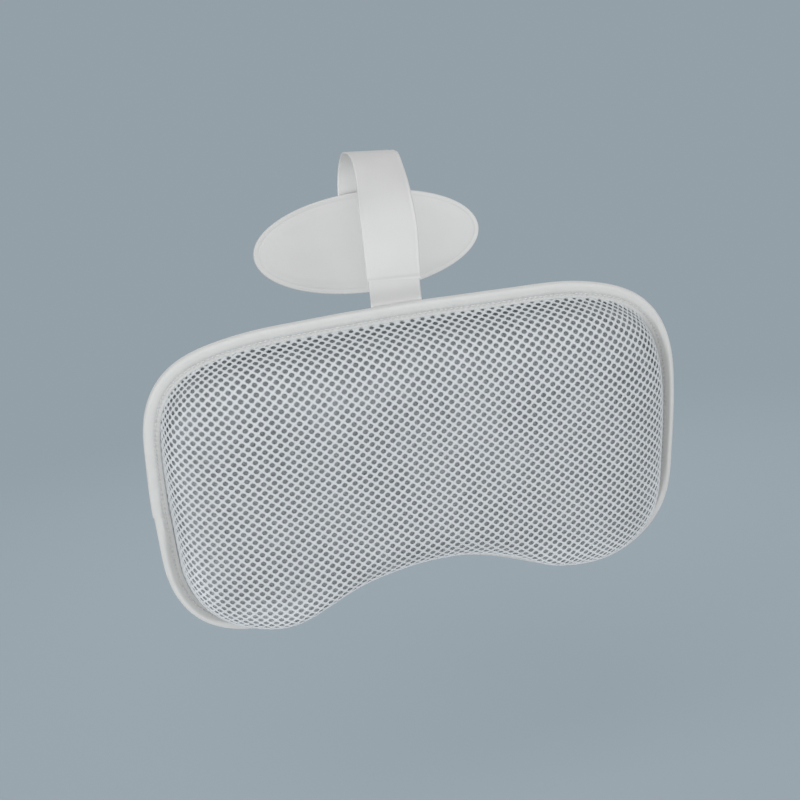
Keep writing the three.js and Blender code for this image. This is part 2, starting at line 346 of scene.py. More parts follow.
# The pad's PVC: the strap's PVC made lighter as painted light
PAD_PAINTED_LIGHT_COLOUR = (0.685, 0.69, 0.685)
STEEL_COLOUR = (0.3, 0.31, 0.32)
STAGE_COLOUR = (0.37, 0.44, 0.49)
BOUNCE_COLOUR = (0.7, 0.71, 0.72)
LAMP_COLOUR = (1, 0.995, 0.99)

# Light: the floor turns to an even backdrop between two radii
WORLD_STRENGTH = 0.56
BACKDROP_STRENGTH = 0.8
BACKDROP_RADII = (0.4, 1.4)
LAMP_AIM = (0, 0, -0.13)

# Lamps: name, place, size, watts and whether the object mirrors them
LAMPS = (
    ("key", (-0.8, -1.6, 0.9), 1.9, 18, True),
    ("fill", (0.2, -1.9, -0.3), 1.6, 10, True),
    ("rear_key", (0.8, 1.8, 0.3), 2.0, 15, False),
    ("rear_fill", (-0.5, 1.9, -0.3), 1.6, 9, False),
)

joints = {joint["name"]: np.array(joint["pos_m"]) for joint in frame["joints"]}


# Meshes


def link(name, data):
    """An object of the scene that shows some data."""
    thing = bpy.data.objects.new(name, data)
    bpy.context.scene.collection.objects.link(thing)
    return thing


def facing_out(points, faces):
    """True if a closed mesh of quads has its faces pointing out."""
    a, b, c, d = (points[faces[:, k]] for k in range(4))
    return np.sum(a * np.cross(b, c)) + np.sum(a * np.cross(c, d)) > 0


def make_piece(name, points, faces, material, places=None, tones=None):
    """A smooth closed piece.

    places holds each face corner's (u, v) in millimetres, tones a factor on the colour at each point that
    paints light and shade into it.
    """
    if not facing_out(points, faces):
        faces = faces[:, ::-1]
        places = None if places is None else places[:, ::-1]
    mesh = bpy.data.meshes.new(name)
    mesh.from_pydata(points.tolist(), [], faces.tolist())
    mesh.polygons.foreach_set("use_smooth", np.ones(len(faces), bool))
    if places is not None:
        layer = mesh.uv_layers.new(name="cloth")
        layer.data.foreach_set("uv", np.asarray(places, np.float32).ravel())
    if tones is not None:
        layer = mesh.attributes.new("tone", "FLOAT", "POINT")
        layer.data.foreach_set("value", np.asarray(tones, np.float32).ravel())
    mesh.materials.append(material)
    return link(name, mesh)


def skin(rows, columns, rows_loop=False, columns_loop=False):
    """Quads over a grid of points, as point numbers and as each corner's row and column."""
    i, j = np.meshgrid(
        np.arange(rows if rows_loop else rows - 1),
        np.arange(columns if columns_loop else columns - 1),
        indexing="ij",
    )
    row = np.stack([i, i + 1, i + 1, i], axis=-1).reshape(-1, 4)
    column = np.stack([j, j, j + 1, j + 1], axis=-1).reshape(-1, 4)
    return row % rows * columns + column % columns, row, column


def caps(rings, around):
    """Quads that close a tube of rings, each with an even count of points."""
    first = np.arange(around)
    last = first + (rings - 1) * around
    faces = []
    for ring in (first, last[::-1]):
        for k in range(around // 2 - 1):
            faces.append([ring[k], ring[k + 1], ring[-k - 2], ring[-k - 1]])
    return faces


def tube(rings, around):
    """Quads of a closed tube of rings."""
    return np.vstack([skin(rings, around, columns_loop=True)[0], caps(rings, around)])


# Shares and slow changes


def ramp(start, end, value):
    """0 at a start and before it, 1 at an end and past it."""
    share = np.clip((value - start) / (end - start), 0, 1)
    return share * share * (3 - 2 * share)


def mixed(first, second, share):
    return first + (second - first) * share


def bell(value, middle, reach):
    """1 at a middle, falling away on both sides."""
    return np.exp(-(((value - middle) / reach) ** 2))


def swell(value, middle, reach, amount):
    return amount * bell(value, middle, reach)


def near_top(z):
    """1 at the heights of the cushion's top edge, 0 lower down."""
    return ramp(*TOP_HEIGHTS, z)


# Cushion outline


def outline_at(angle, notch_depth):
    c, s = np.cos(angle), np.sin(angle)
    upper = s >= 0
    power = 2 / np.where(upper, TOP_SQUARENESS, LOBE_SQUARENESS)
    rise = np.abs(s) ** power
    level = np.sign(c) * np.abs(c) ** power
    z = np.where(upper, UPPER_HEIGHT, -LOBE_DROP) * rise
    x = level * (CUSHION_WIDTH / 2 + UPPER_SPREAD * z / UPPER_HEIGHT)
    sag = TOP_SAG * level**2 * np.abs(s)
    notch = notch_depth * rise * np.exp(-np.abs(x / NOTCH_HALF_WIDTH) ** NOTCH_SQUARENESS)
    return np.column_stack([x, np.where(upper, z - sag, z + notch)])


def lengths_along(path):
    return np.concatenate([[0], np.cumsum(np.linalg.norm(np.diff(path, axis=0), axis=1))])


def at_lengths(path, wanted):
    along = lengths_along(path)
    return np.column_stack([np.interp(wanted, along, path[:, k]) for k in range(2)])


def even_loop(points, count):
    closed = np.vstack([points, points[:1]])
    return at_lengths(closed, np.linspace(0, lengths_along(closed)[-1], count, endpoint=False))


def loop_ahead(loop):
    """Unit directions along a loop."""
    ahead = np.roll(loop, -1, 0) - np.roll(loop, 1, 0)
    return ahead / np.linalg.norm(ahead, axis=1, keepdims=True)


def inward(loop):
    ahead = loop_ahead(loop)
    return np.column_stack([-ahead[:, 1], ahead[:, 0]])


def near_angle(loop, middle, width, power=2):
    """1 at an angle round the cushion's middle, falling away over a width, both in degrees."""
    angle = np.degrees(np.arctan2(loop[:, 1] - CROWN_HEIGHT, loop[:, 0]))
    gap = (angle - middle + 180) % 360 - 180
    return np.exp(-(np.abs(gap / width) ** power))


def swells_round(loop, swells):
    """Sum of swells, each an angle round the cushion's middle, a half width and an amount."""
    return sum(amount * near_angle(loop, middle, width) for middle, width, amount in swells)


def edge_loop(notch_depth=NOTCH_DEPTH, samples=2880, count=1440):
    """The outline, drawn in or let out a little in places, as a sewn edge is."""
    angles = np.linspace(0, 2 * np.pi, samples, endpoint=False)
    loop = even_loop(outline_at(angles, notch_depth), count)
    return loop - inward(loop) * swells_round(loop, OUTLINE_SWELLS)[:, None]


EDGE = edge_loop()
EDGE_LENGTH = np.linalg.norm(EDGE - np.roll(EDGE, 1, 0), axis=1).sum()
EDGE_STITCHES = int(round(EDGE_LENGTH / STITCH_PITCH))


def edge_ring(count, inset):
    loop = even_loop(EDGE, count)
    return loop + inward(loop) * np.reshape(inset, (-1, 1))


def with_depth(flat, y):
    """Points (x, z) of the cushion's plane set at a depth y."""
    x, z = flat[..., 0], flat[..., 1]
    return np.stack([x, y + 0 * x, z], axis=-1)


def hang(points):
    """Points of the cushion's own frame placed in the part's frame, in metres."""
    x, y, z = (np.asarray(points, float) - (STRAP_OFFSET, TAB_MIDDLE, UPPER_HEIGHT + TAB_STANDOFF)).T
    c, s = math.cos(math.radians(CUSHION_TILT)), math.sin(math.radians(CUSHION_TILT))
    return np.column_stack([x, y * c - z * s, y * s + z * c]) * MM + joints["cushion_swing"]


def turned(directions):
    """Directions of the cushion's own frame in the part's frame."""
    return (hang(directions) - hang(np.zeros((1, 3)))) / MM


# Crowned front


def crown_over(rim, depth):
    """A function of (x, z): the crowned front's depth over the seam's plane, nothing at a rim."""
    offset = rim - (0, CROWN_HEIGHT)
    angles = np.arctan2(offset[:, 1], offset[:, 0])
    radii = np.hypot(offset[:, 0], offset[:, 1])

    def crown(x, z):
        angle = np.arctan2(z - CROWN_HEIGHT, x)
        reach = np.interp(angle, angles, radii, period=2 * np.pi)
        share = np.hypot(x, z - CROWN_HEIGHT) / reach
        rise = np.clip(1 - share**FLANK_SQUARENESS, 0, None) ** (1 / CROWN_SQUARENESS)
        low = (CROWN_HEIGHT - z) / (CROWN_HEIGHT + LOBE_DROP)
        full = (depth + LOWER_EXTRA_DEPTH * low) * rise * (1 + unevenness(x, z))
        slope = mixed(RIM_SLOPE, TOP_RIM_SLOPE, near_top(CROWN_HEIGHT + reach * np.sin(angle)))
        slant = slope * np.clip(1 - share, 0, None) * reach + LEAST_SLANT
        return full * slant / (full**RIM_EASE + slant**RIM_EASE) ** (1 / RIM_EASE)

    return crown


def unevenness(x, z):
    """Slow, slight swells of a sewn cover over its filling, as a share of the depth."""
    change = UNEVEN_SHARE * sum(np.sin(a * x + b * z + phase) for a, b, phase in UNEVEN_WAVES)
    for middle_x, middle_z, radius, share in LOBE_SWELLS:
        change = change + share * np.exp(-((x - middle_x) ** 2 + (z - middle_z) ** 2) / radius**2)
    return change


def front_points(x, z, depth):
    """Points of the front at a depth, the left lobe hanging a little over the binding."""
    low = ramp(*SAG_HEIGHTS, z) * ramp(0, SAG_DEPTH, depth)
    return np.stack([x, -NET_BACK - depth, z - low * swell(x, *LOBE_SAG)], axis=2)


def flank_painted_light_share(crown, x, z, step=1.0):
    """Share of painted light: 1 on the flanks at the sides, up to 2 on the flanks and the front below, 0
    above.
    """
    sideways = (crown(x + step, z) - crown(x - step, z)) / (2 * step)
    upward = np.clip((crown(x, z + step) - crown(x, z - step)) / (2 * step), 0, None)
    share = ramp(*FLANK_SLOPES, np.hypot(sideways, upward)) * (1 - near_top(z))
    low_front = ramp(*LOW_FRONT_HEIGHTS, z)
    return np.maximum(share, low_front) * (1 + ramp(*LOW_FLANK_HEIGHTS, z))


# Net


def between(grid, row, column):
    """A grid of vectors read between its points."""
    i, j = row.astype(int), column.astype(int)
    fi, fj = (row - i)[..., None], (column - j)[..., None]
    low = grid[i, j] * (1 - fj) + grid[i, j + 1] * fj
    high = grid[i + 1, j] * (1 - fj) + grid[i + 1, j + 1] * fj
    return low * (1 - fi) + high * fi


def reader(xs, zs, values, inside=1.001):
    """A function of (x, z) that reads values kept on an even grid."""
    step = xs[1] - xs[0]

    def read(x, z):
        column = np.clip((x - xs[0]) / step, 0, len(xs) - inside)
        row = np.clip((z - zs[0]) / step, 0, len(zs) - inside)
        return between(values[..., None], row, column)[..., 0]

    return read


def arc_table(xs, zs, depths, axis, zero):
    """Length over the surface from a middle line, along rows (axis 1) or columns (axis 0)."""
    step = xs[1] - xs[0]
    pieces = np.hypot(step, np.diff(depths, axis=axis))
    pad = [(1, 0), (0, 0)] if axis == 0 else [(0, 0), (1, 0)]
    along = np.cumsum(np.pad(pieces, pad), axis=axis)
    return reader(xs, zs, along - np.take(along, [zero], axis=axis))


def solve(table_at, wanted, low, high, steps=18):
    """The places where a rising function reaches the wanted values, by halving."""
    low, high = np.full(wanted.shape, float(low)), np.full(wanted.shape, float(high))
    for _ in range(steps):
        middle = (low + high) / 2
        under = table_at(middle) < wanted
        low, high = np.where(under, middle, low), np.where(under, high, middle)
    return (low + high) / 2


def net_crown(edge):
    """The net's crown, from where it comes out under the binding, closer to the edge along the top."""
    inset = NET_RIM_INSET - TOP_RIM_GAIN * near_top(edge[:, 1])
    return crown_over(edge + inward(edge) * inset[:, None], CROWN_DEPTH)


def lay_net(u, v, step=0.25, half_width=176, z_low=-92, z_high=142, rounds=8):
    """Lays a flat net's points (u, v) over the crown, keeping lengths along its rows and columns."""
    xs = np.arange(-half_width, half_width + step / 2, step)
    zs = np.arange(z_low, z_high + step / 2, step)
    grid_x, grid_z = np.meshgrid(xs, zs)
    depths = net_crown(EDGE)(grid_x, grid_z)
    unnotched = net_crown(edge_loop(notch_depth=0))(grid_x, grid_z)
    across = arc_table(xs, zs, unnotched, 1, int(round(half_width / step)))
    upwards = arc_table(xs, zs, depths, 0, int(round((CROWN_HEIGHT - z_low) / step)))
    x, z = u.copy(), CROWN_HEIGHT + v
    for k in range(rounds):
        keep = 0.5 if k else 0
        x = keep * x + (1 - keep) * solve(lambda m: across(m, z), u, -half_width, half_width)
        z = keep * z + (1 - keep) * solve(lambda m: upwards(x, m), v, z_low, z_high)
    return x, z, reader(xs, zs, depths)(x, z)


def held_in_hem(x, z, parts=40):
    """Points past the hem drawn back to it, and each point's inset from the outline."""
    offset = np.column_stack([x.ravel(), z.ravel()])
    inset = np.empty(len(offset))
    nearest = np.empty(len(offset), int)
    normals = inward(EDGE)
    for part in np.array_split(np.arange(len(offset)), parts):
        gaps = offset[part, None] - EDGE[None]
        nearest[part] = np.argmin(np.sum(gaps * gaps, axis=2), axis=1)
        inset[part] = np.sum((offset[part] - EDGE[nearest[part]]) * normals[nearest[part]], axis=1)
    outside = inset < NET_HEM_INSET
    held = offset + normals[nearest] * (NET_HEM_INSET - inset)[:, None] * outside[:, None]
    return held[:, 0].reshape(x.shape), held[:, 1].reshape(x.shape), inset.reshape(x.shape)


def grid_normals(points):
    across = np.gradient(points, axis=1)
    upwards = np.gradient(points, axis=0)
    normals = np.cross(across, upwards)
    return normals / (np.linalg.norm(normals, axis=2, keepdims=True) + TINY)


def net_faces(cell, ring, knot_count):
    """Quads from each hole's cell to its ring, in front and behind, and across the net's outer ends."""
    back = cell + knot_count
    after = np.roll(np.arange(cell.shape[1]), -1)
    front_faces = np.stack([cell, cell[:, after], ring[:, after], ring], axis=-1).reshape(-1, 4)
    back_faces = np.stack([back[:, after], back, ring, ring[:, after]], axis=-1).reshape(-1, 4)
    edges = np.stack([cell, cell[:, after]], axis=-1).reshape(-1, 2)
    _, place, count = np.unique(np.sort(edges, axis=1), axis=0, return_inverse=True, return_counts=True)
    start, end = edges[count[place.ravel()] == 1].T
    end_faces = np.column_stack([end, start, start + knot_count, end + knot_count])
    return np.vstack([front_faces, back_faces, end_faces])


def net_cover(material):
    half_columns, half_rows = STEPS_PER_PITCH * NET_COLUMNS, STEPS_PER_PITCH * NET_ROWS
    columns, rows = 2 * half_columns + 1, 2 * half_rows + 1
    row, column = np.meshgrid(np.arange(rows), np.arange(columns), indexing="ij")
    up, right = row - half_rows, column - half_columns
    x, z, depth = lay_net(right * NET_PITCH_X / STEPS_PER_PITCH, up * NET_PITCH_Z / STEPS_PER_PITCH)
    x, z, inset = held_in_hem(x, z)
    sheet = front_points(x, z, depth)
    normals = grid_normals(sheet)

    is_hole = (up % 2 == 0) & (right % 2 == 0) & ((up // 2 + right // 2) % 2 == 0)
    holes = np.argwhere(is_hole & (inset > NET_LAST_HOLE_INSET))
    hole_row, hole_column = holes.T

    # Each hole's cell: four knots and four strand middles, counter-clockwise from the right
    knots = np.array([(0, 2), (1, 1), (2, 0), (1, -1), (0, -2), (-1, -1), (-2, 0), (-1, 1)])
    is_knot = np.abs(knots).max(axis=1) == 2
    around = holes[:, None] + knots
    codes, cell = np.unique(around[..., 0] * columns + around[..., 1], return_inverse=True)
    cell = cell.reshape(around.shape[:2])
    on_row, on_column = codes // columns, codes % columns
    base, out = sheet[on_row, on_column], normals[on_row, on_column]
    crest = np.where((on_row - half_rows) % 2 == 0, KNOT_CREST, STRAND_CREST)

    # Each hole's ring, drawn together towards the hem
    from_hem = np.hypot(depth, np.clip(inset - NET_RIM_INSET, 0, None))[hole_row, hole_column]
    hem_reach = mixed(HEM_REACH, TOP_HEM_REACH, near_top(z)[hole_row, hole_column])
    opened = mixed(HEM_HOLE_SHARE, 1, ramp(0, hem_reach, from_hem))
    share = np.where(is_knot, HOLE_SHARE_AT_KNOT, HOLE_SHARE_AT_STRAND)[:, None]
    rim = holes[:, None] + knots * share * opened[:, None, None]
    rim_row, rim_column = rim[..., 0], rim[..., 1]
    rim_points = between(sheet, rim_row, rim_column)
    rim_points = rim_points + STRAND_EDGE * between(normals, rim_row, rim_column)
    points = np.vstack(
        [base + out * crest[:, None], base + out * STRAND_BACK, rim_points.reshape(-1, 3)]
    )
    ring = 2 * len(codes) + np.arange(cell.size).reshape(cell.shape)

    # Tones: painted highlight on the crests, painted shade at the holes' rings, painted light on the flanks
    # and the low front
    flank = flank_painted_light_share(net_crown(EDGE), x, z)
    at_knots, at_holes = flank[on_row, on_column], flank[hole_row, hole_column]
    flank = np.concatenate([at_knots, at_knots, np.repeat(at_holes, len(knots))])
    tones = np.repeat([CREST_PAINTED_LIGHT, RING_PAINTED_SHADE, RING_PAINTED_SHADE], [len(codes), len(codes), cell.size])
    tones = tones * (1 + NET_FLANK_PAINTED_LIGHT * flank)
    net = make_piece(
        "net_cover", hang(points), net_faces(cell, ring, len(codes)), material, tones=tones
    )
    net.data.set_sharp_from_angle(angle=math.radians(SHARP_ANGLE))
    return net


# Filling and back panel


def rings_to_middle(rim, count):
    """Rings from a rim to the cushion's middle, and each ring's share of the rim's reach."""
    middle = np.array([0, CROWN_HEIGHT])
    share = np.linspace(1, MIDDLE_SHARE, count)
    return middle + (rim[None] - middle) * share[:, None, None], share


def foam_core(material, points_round=240, rings=40, rear_rings=6):
    loop = even_loop(EDGE, points_round)
    rim_inset = FOAM_INSET + FOAM_TOP_INSET * ramp(*FOAM_TOP_HEIGHTS, loop[:, 1])
    rim = edge_ring(points_round, rim_inset + swells_round(loop, FOAM_CORNERS))
    crown = crown_over(rim, CROWN_DEPTH - FOAM_GAP)
    turns = np.linspace(0, np.pi / 2 * FOAM_LAST_TURN, rings)
    share = np.cos(turns)[:, None] ** (2 / FLANK_SQUARENESS)
    x = rim[None, :, 0] * share
    z = CROWN_HEIGHT + (rim[None, :, 1] - CROWN_HEIGHT) * share
    rear = with_depth(rings_to_middle(rim, rear_rings)[0][::-1], 0)
    points = np.concatenate([rear, front_points(x, z, crown(x, z))])
    # Painted light on the filling's flanks and low front
    tones = np.concatenate(
        [np.ones((rear_rings, points_round)), 1 + FOAM_FLANK_PAINTED_LIGHT * flank_painted_light_share(crown, x, z)]
    )
    faces = tube(len(points), points_round)
    return make_piece("foam_filling", hang(points.reshape(-1, 3)), faces, material, tones=tones)


def panel_relief(x, z, inset, along):
    """How far the back panel stands out: a slight puff, held down at the seam and under the tab."""
    beside = np.maximum(np.abs(x - STRAP_OFFSET) - TAB_WIDTH / 2, 0)
    below = np.maximum(TAB_SEWN_BOTTOM - z, 0)
    from_tab = np.hypot(beside, below)
    puff = PANEL_PUFF * ramp(*PUFF_INSETS, inset) * ramp(*PUFF_FROM_TAB, from_tab)
    pucker = sum(np.sin(along / length + phase) for length, phase in PUCKER_WAVES)
    fade = bell(inset, PUCKER_MIDDLE, PUCKER_REACH) * ramp(*PUCKER_FROM_TAB, from_tab)
    return puff + PUCKER_DEPTH / 2 * pucker * fade * ramp(*PUCKER_INSETS, inset)


def back_panel(material, points_round=720, rings=44):
    rim = edge_ring(points_round, PANEL_INSET)
    flat, share = rings_to_middle(rim, rings)
    reach = np.linalg.norm(rim - (0, CROWN_HEIGHT), axis=1)[None]
    inset = PANEL_INSET + reach * (1 - share[:, None])
    along = np.linspace(0, EDGE_LENGTH, points_round, endpoint=False)[None]
    outer = with_depth(flat, PANEL_OUTER + panel_relief(flat[..., 0], flat[..., 1], inset, along))
    inner = with_depth(flat, PANEL_INNER)
    points = np.concatenate([inner[::-1], outer]).reshape(-1, 3)
    faces = tube(2 * rings, points_round)
    return make_piece("back_panel_cloth", hang(points), faces, material, points[faces][..., [0, 2]])


# Edge binding


def mirrored(face):
    """A face's (inset, depth) points on the other side of the seam's plane, in reverse."""
    return [(inset, -depth) for inset, depth in reversed(face)]


def tape_section(bulge_steps=17):
    """The folded tape's section, as inset from the outline and depth: outer face, then inner face."""
    face = [(TAPE_WIDTH + past, depth) for past, depth in BAND_FACE]
    face += [(SEAM_INSET + past, depth) for past, depth in SEAM_FACE]
    turns = np.linspace(0, np.pi, bulge_steps)
    bulge_from = SEAM_INSET - BULGE_START
    across = np.sin(turns) ** TAPE_BULGE_POWER
    depth = np.sign(np.cos(turns)) * np.abs(np.cos(turns)) ** TAPE_BULGE_POWER
    bulge = list(zip(bulge_from - (bulge_from + TAPE_PROUD) * across, TAPE_HALF * depth))
    inner = [(inset, TAPE_INNER_DEPTH) for inset in TAPE_INNER_INSETS]
    outer = face + bulge + mirrored(face)
    return np.array(outer + mirrored(inner[::-1]) + inner[::-1])


def tape_lap(along):
    """How far the tape's last end stands over its first one, which it laps."""
    loop = even_loop(EDGE, len(along))
    behind = along[np.argmax(near_angle(loop, TAPE_LAP_ANGLE, 1))] - along
    raised = ramp(0, TAPE_LAP_EDGE, behind) * (1 - ramp(0, TAPE_LAP_LENGTH, behind))
    return TAPE_LAP_PROUD * raised


def band_tone(ring, inset):
    """Tone of the tape at an inset: on its inner band, painted light along the top and painted shade at the
    sides, deeper at the right side and the lower left.
    """
    tone = mixed(SIDE_BAND_PAINTED_SHADE, TOP_BAND_PAINTED_LIGHT, near_top(ring[:, 1]))
    band_from = np.full(len(ring), SEAM_INSET - BAND_EASE)
    for middle, width, shade, extra in BAND_PAINTED_SHADES:
        away = near_angle(ring, middle, width, power=4)
        tone = mixed(tone, shade, away)
        band_from = band_from - extra * away
    return mixed(1, tone, ramp(band_from, band_from + BAND_EASE, inset))


def edge_binding(material):
    steps = EDGE_STITCHES * STEPS_PER_STITCH
    section = tape_section()
    turn = 2 * np.pi * np.arange(steps) / STEPS_PER_STITCH
    along = np.linspace(0, EDGE_LENGTH, steps, endpoint=False)
    drift = sum(depth * np.sin(along / length + phase) for depth, length, phase in TAPE_WAVES)
    drift = drift - tape_lap(along)
    bands, tones = [], []
    for inset, depth in section:
        near_seam = bell(inset, SEAM_INSET, SEAM_REACH) if abs(depth) > TAPE_FACE_DEPTH else 0
        ring = edge_ring(steps, inset + drift * (BAND_DRIFT if inset > SEAM_INSET else BULGE_DRIFT))
        bands.append(with_depth(ring, -depth * (1 - SEAM_PINCH * near_seam * (1 + np.cos(turn)))))
        # Painted shade on the inner band and in the seam's groove, painted light on the top's inner band
        tones.append(np.minimum(band_tone(ring, inset), mixed(1, SEAM_PAINTED_SHADE, near_seam)))
    points = np.stack(bands, axis=1).reshape(-1, 3)
    faces, row, column = skin(steps, len(section), rows_loop=True, columns_loop=True)
    across = lengths_along(np.vstack([section, section[:1]]))
    places = np.stack([row * EDGE_LENGTH / steps, across[column]], axis=-1)
    tones = np.stack(tones, axis=1)
    return make_piece("edge_binding_tape", hang(points), faces, material, places, tones)


def stitch_row(name, middles, ahead, depth, side, material, tones=1.0):
    """A row of stitches at points (x, z) of the cushion, on its front for side -1 or its back for 1.

    Each is a short bent thread that dips into the cloth at both ends.
    """
    centres, along = hang(with_depth(middles, depth)), turned(with_depth(ahead, 0))
    out = turned([(0, side, 0)])
    beside = np.cross(along, out)
    radius = STITCH_RADIUS * MM
    share = np.linspace(-1, 1, STITCH_STEPS)
    girth = np.sqrt(np.clip(1 - STITCH_TAPER * np.abs(share) ** TAPER_POWER, LEAST_GIRTH, 1))
    dip = radius * (1 - STITCH_DIP * np.abs(share) ** DIP_POWER)
    reach = share * STITCH_LENGTH * MM / 2
    turns = np.arange(STITCH_SIDES) * 2 * np.pi / STITCH_SIDES
    centre = centres[:, None] + along[:, None] * reach[:, None] + out[:, None] * dip[:, None]
    ring = (
        beside[:, None, None] * (np.cos(turns) * radius)[:, None]
        + out[:, None, None] * (np.sin(turns) * radius)[:, None]
    ) * girth[:, None, None]
    points = (centre[:, :, None] + ring).reshape(-1, 3)
    starts = np.arange(len(middles)) * STITCH_STEPS * STITCH_SIDES
    faces = (tube(STITCH_STEPS, STITCH_SIDES)[None] + starts[:, None, None]).reshape(-1, 4)
    tones = np.repeat(np.broadcast_to(tones, len(middles)), STITCH_STEPS * STITCH_SIDES)
    return make_piece(name, points, faces, material, tones=tones)


def binding_stitches(name, side, material):
    """Stitches in the tape's groove, with the tape's painted light and shade: side -1 is the front, 1 the
    back.
    """
    ring = edge_ring(EDGE_STITCHES * 2, SEAM_INSET)[1::2]
    depth = side * (SEAM_DEPTH - STITCH_SEAT)
    return stitch_row(name, ring, loop_ahead(ring), depth, side, material, band_tone(ring, SEAM_INSET))


# Strap and tab


def even_path(points):
    length = lengths_along(points)[-1]
    return at_lengths(points, np.linspace(0, length, int(length / STRIP_STEP) + 1))


def eased(path, passes):
    """A path with its corners rounded by averaging, its ends kept."""
    path = path.copy()
    for _ in range(passes):
        path[1:-1] = (path[:-2] + 2 * path[1:-1] + path[2:]) / 4
    return path


def strip_loop(width, flat_points=9):
    """A strip's section as a loop of places across and heights: its outer face, then its inner face."""
    half, full = width / 2, STRAP_THICKNESS / 2
    left = [(past - half, full - loss) for past, loss in EDGE_SECTION]
    left += [(EDGE_BEAD + past - half, full - loss) for past, loss in BEAD_SECTION]
    middle = [(x, full) for x in np.linspace(FLAT_MARGIN - half, half - FLAT_MARGIN, flat_points)]
    section = np.array(left + middle + [(-x, height) for x, height in reversed(left)])
    return np.vstack([section, section[::-1] * (1, -1)])


def twist(along):
    """How far the strap's two edges stray, as (x, y, z), at lengths from the crown's middle to the rear."""
    lift, slack = swell(along, *CROWN_LIFT), swell(along, *SLACK)
    square = swell(along, *LEFT_SQUARE) / math.sqrt(2)
    left = np.column_stack([0 * lift, -square, lift + square])
    bow, bulge = swell(along, *LEG_BOW), swell(along, *LEG_BULGE)
    return left, np.column_stack([bow, slack - bulge, -slack / SLACK_PER_DROP])


def strap_tones(loop, strap_place, to_end, laps):
    """Painted light down the leg and inside the rear, painted shade at the front bend and a painted shadow
    line along the lapped end.
    """
    rear = ramp(CROWN_LEVEL / 2, REAR_BEND, strap_place)[:, None] * (loop[:, 1] < 0)
    leg = ramp(*LEG_PAINTED_LIGHT_SPAN, strap_place)[:, None]
    bend = swell(strap_place, *BEND_PAINTED_SHADE)[:, None]
    tones = 1 + (REAR_PAINTED_LIGHT - 1) * rear + (LEG_PAINTED_LIGHT - 1) * leg + bend
    if laps:
        rise = to_end[:, None] - LAP_LINE_RISE - LAP_LINE_TILT * loop[:, 0]
        tones = tones * mixed(1, LAP_LINE_PAINTED_SHADOW, bell(rise, 0, LAP_LINE_WIDTH))
    return tones


def strip_piece(name, path, material, width, strap_place, laps=False, fold_z=None):
    """A welded plastic strip whose side view follows a path of (y, z) points.

    strap_place is each point's length along the strap from the crown's middle, more to the rear. A strip
    that laps sinks at its last end. A tab has a fold's height, and both its ends are thin.
    """
    is_tab = fold_z is not None
    ahead = np.gradient(path, axis=0)
    ahead /= np.linalg.norm(ahead, axis=1, keepdims=True)
    across = np.column_stack([-ahead[:, 1], ahead[:, 0]])
    loop = strip_loop(width)
    along = lengths_along(path)
    to_end = along[-1] - along
    thin = np.ones(len(path))
    for distance in (along, to_end) if is_tab else (to_end,):
        thin *= mixed(END_THIN, 1, ramp(END_FROM, END_TAPER, distance))
    sink = END_SINK * laps * (1 - ramp(0, 2 * END_TAPER, to_end))
    middle = path + across * sink[:, None]
    points = np.empty((len(path), len(loop), 3))
    narrow = 1 - CROWN_NARROWING * ramp(*NARROW_SPAN, strap_place)
    points[..., 0] = loop[:, 0] * narrow[:, None]
    points[..., 1:] = middle[:, None] + across[:, None] * (loop[:, 1] * thin[:, None])[..., None]
    left, right = twist(strap_place)
    share = (loop[:, 0] / width + 0.5)[:, None]
    points += left[:, None] * (1 - share) + right[:, None] * share
    tones = strap_tones(loop, strap_place, to_end, laps)
    if laps:
        drop = mixed(*END_DROPS, share[:, 0])
        points[..., 2] -= drop * (1 - ramp(0, END_DROP_REACH, to_end))[:, None]
    if is_tab:
        # Painted light over the whole tab, painted shade and light on its front near the fold
        rise = points[..., 2] - fold_z
        tones = TAB_PAINTED_LIGHT + sum(swell(rise, *tone) for tone in TAB_PAINTED_LIGHT_AND_SHADE) * (loop[:, 1] > 0)
    faces, row, column = skin(len(path), len(loop), columns_loop=True)
    places = np.stack([along[row], np.append(loop[:, 0], loop[0, 0])[column]], axis=-1)
    cap_faces = np.array(caps(len(path), len(loop)))
    cap_places = np.stack([np.zeros(cap_faces.shape), loop[cap_faces % len(loop), 0]], axis=-1)
    faces, places = np.vstack([faces, cap_faces]), np.concatenate([places, cap_places])
    strip = make_piece(name, points.reshape(-1, 3) * MM, faces, material, places, tones)
    strip.data.set_sharp_from_angle(angle=math.radians(STRIP_SHARP_ANGLE))
    return strip


def middle_y(node):
    low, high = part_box(node)
    return np.array((low + high) / 2)[1] / MM


def strap_half(name, side, radius, end_y, end_node, material, steps, laps):
    """The strap from the crown's middle to one end: side -1 is the front, 1 the rear."""
    crown_z = STRAP_THICKNESS / 2
    turns = np.linspace(0, np.pi / 2, steps)
    bend_y = side * (CROWN_LEVEL / 2 + radius * np.sin(turns))
    bend = np.column_stack([bend_y, crown_z - radius + radius * np.cos(turns)])
    end = (end_y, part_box(end_node)[0].z / MM)
    path = even_path(np.vstack([[(0, crown_z)], bend, [end]]))
    return strip_piece(name, path, material, STRAP_WIDTH, side * lengths_along(path), laps)


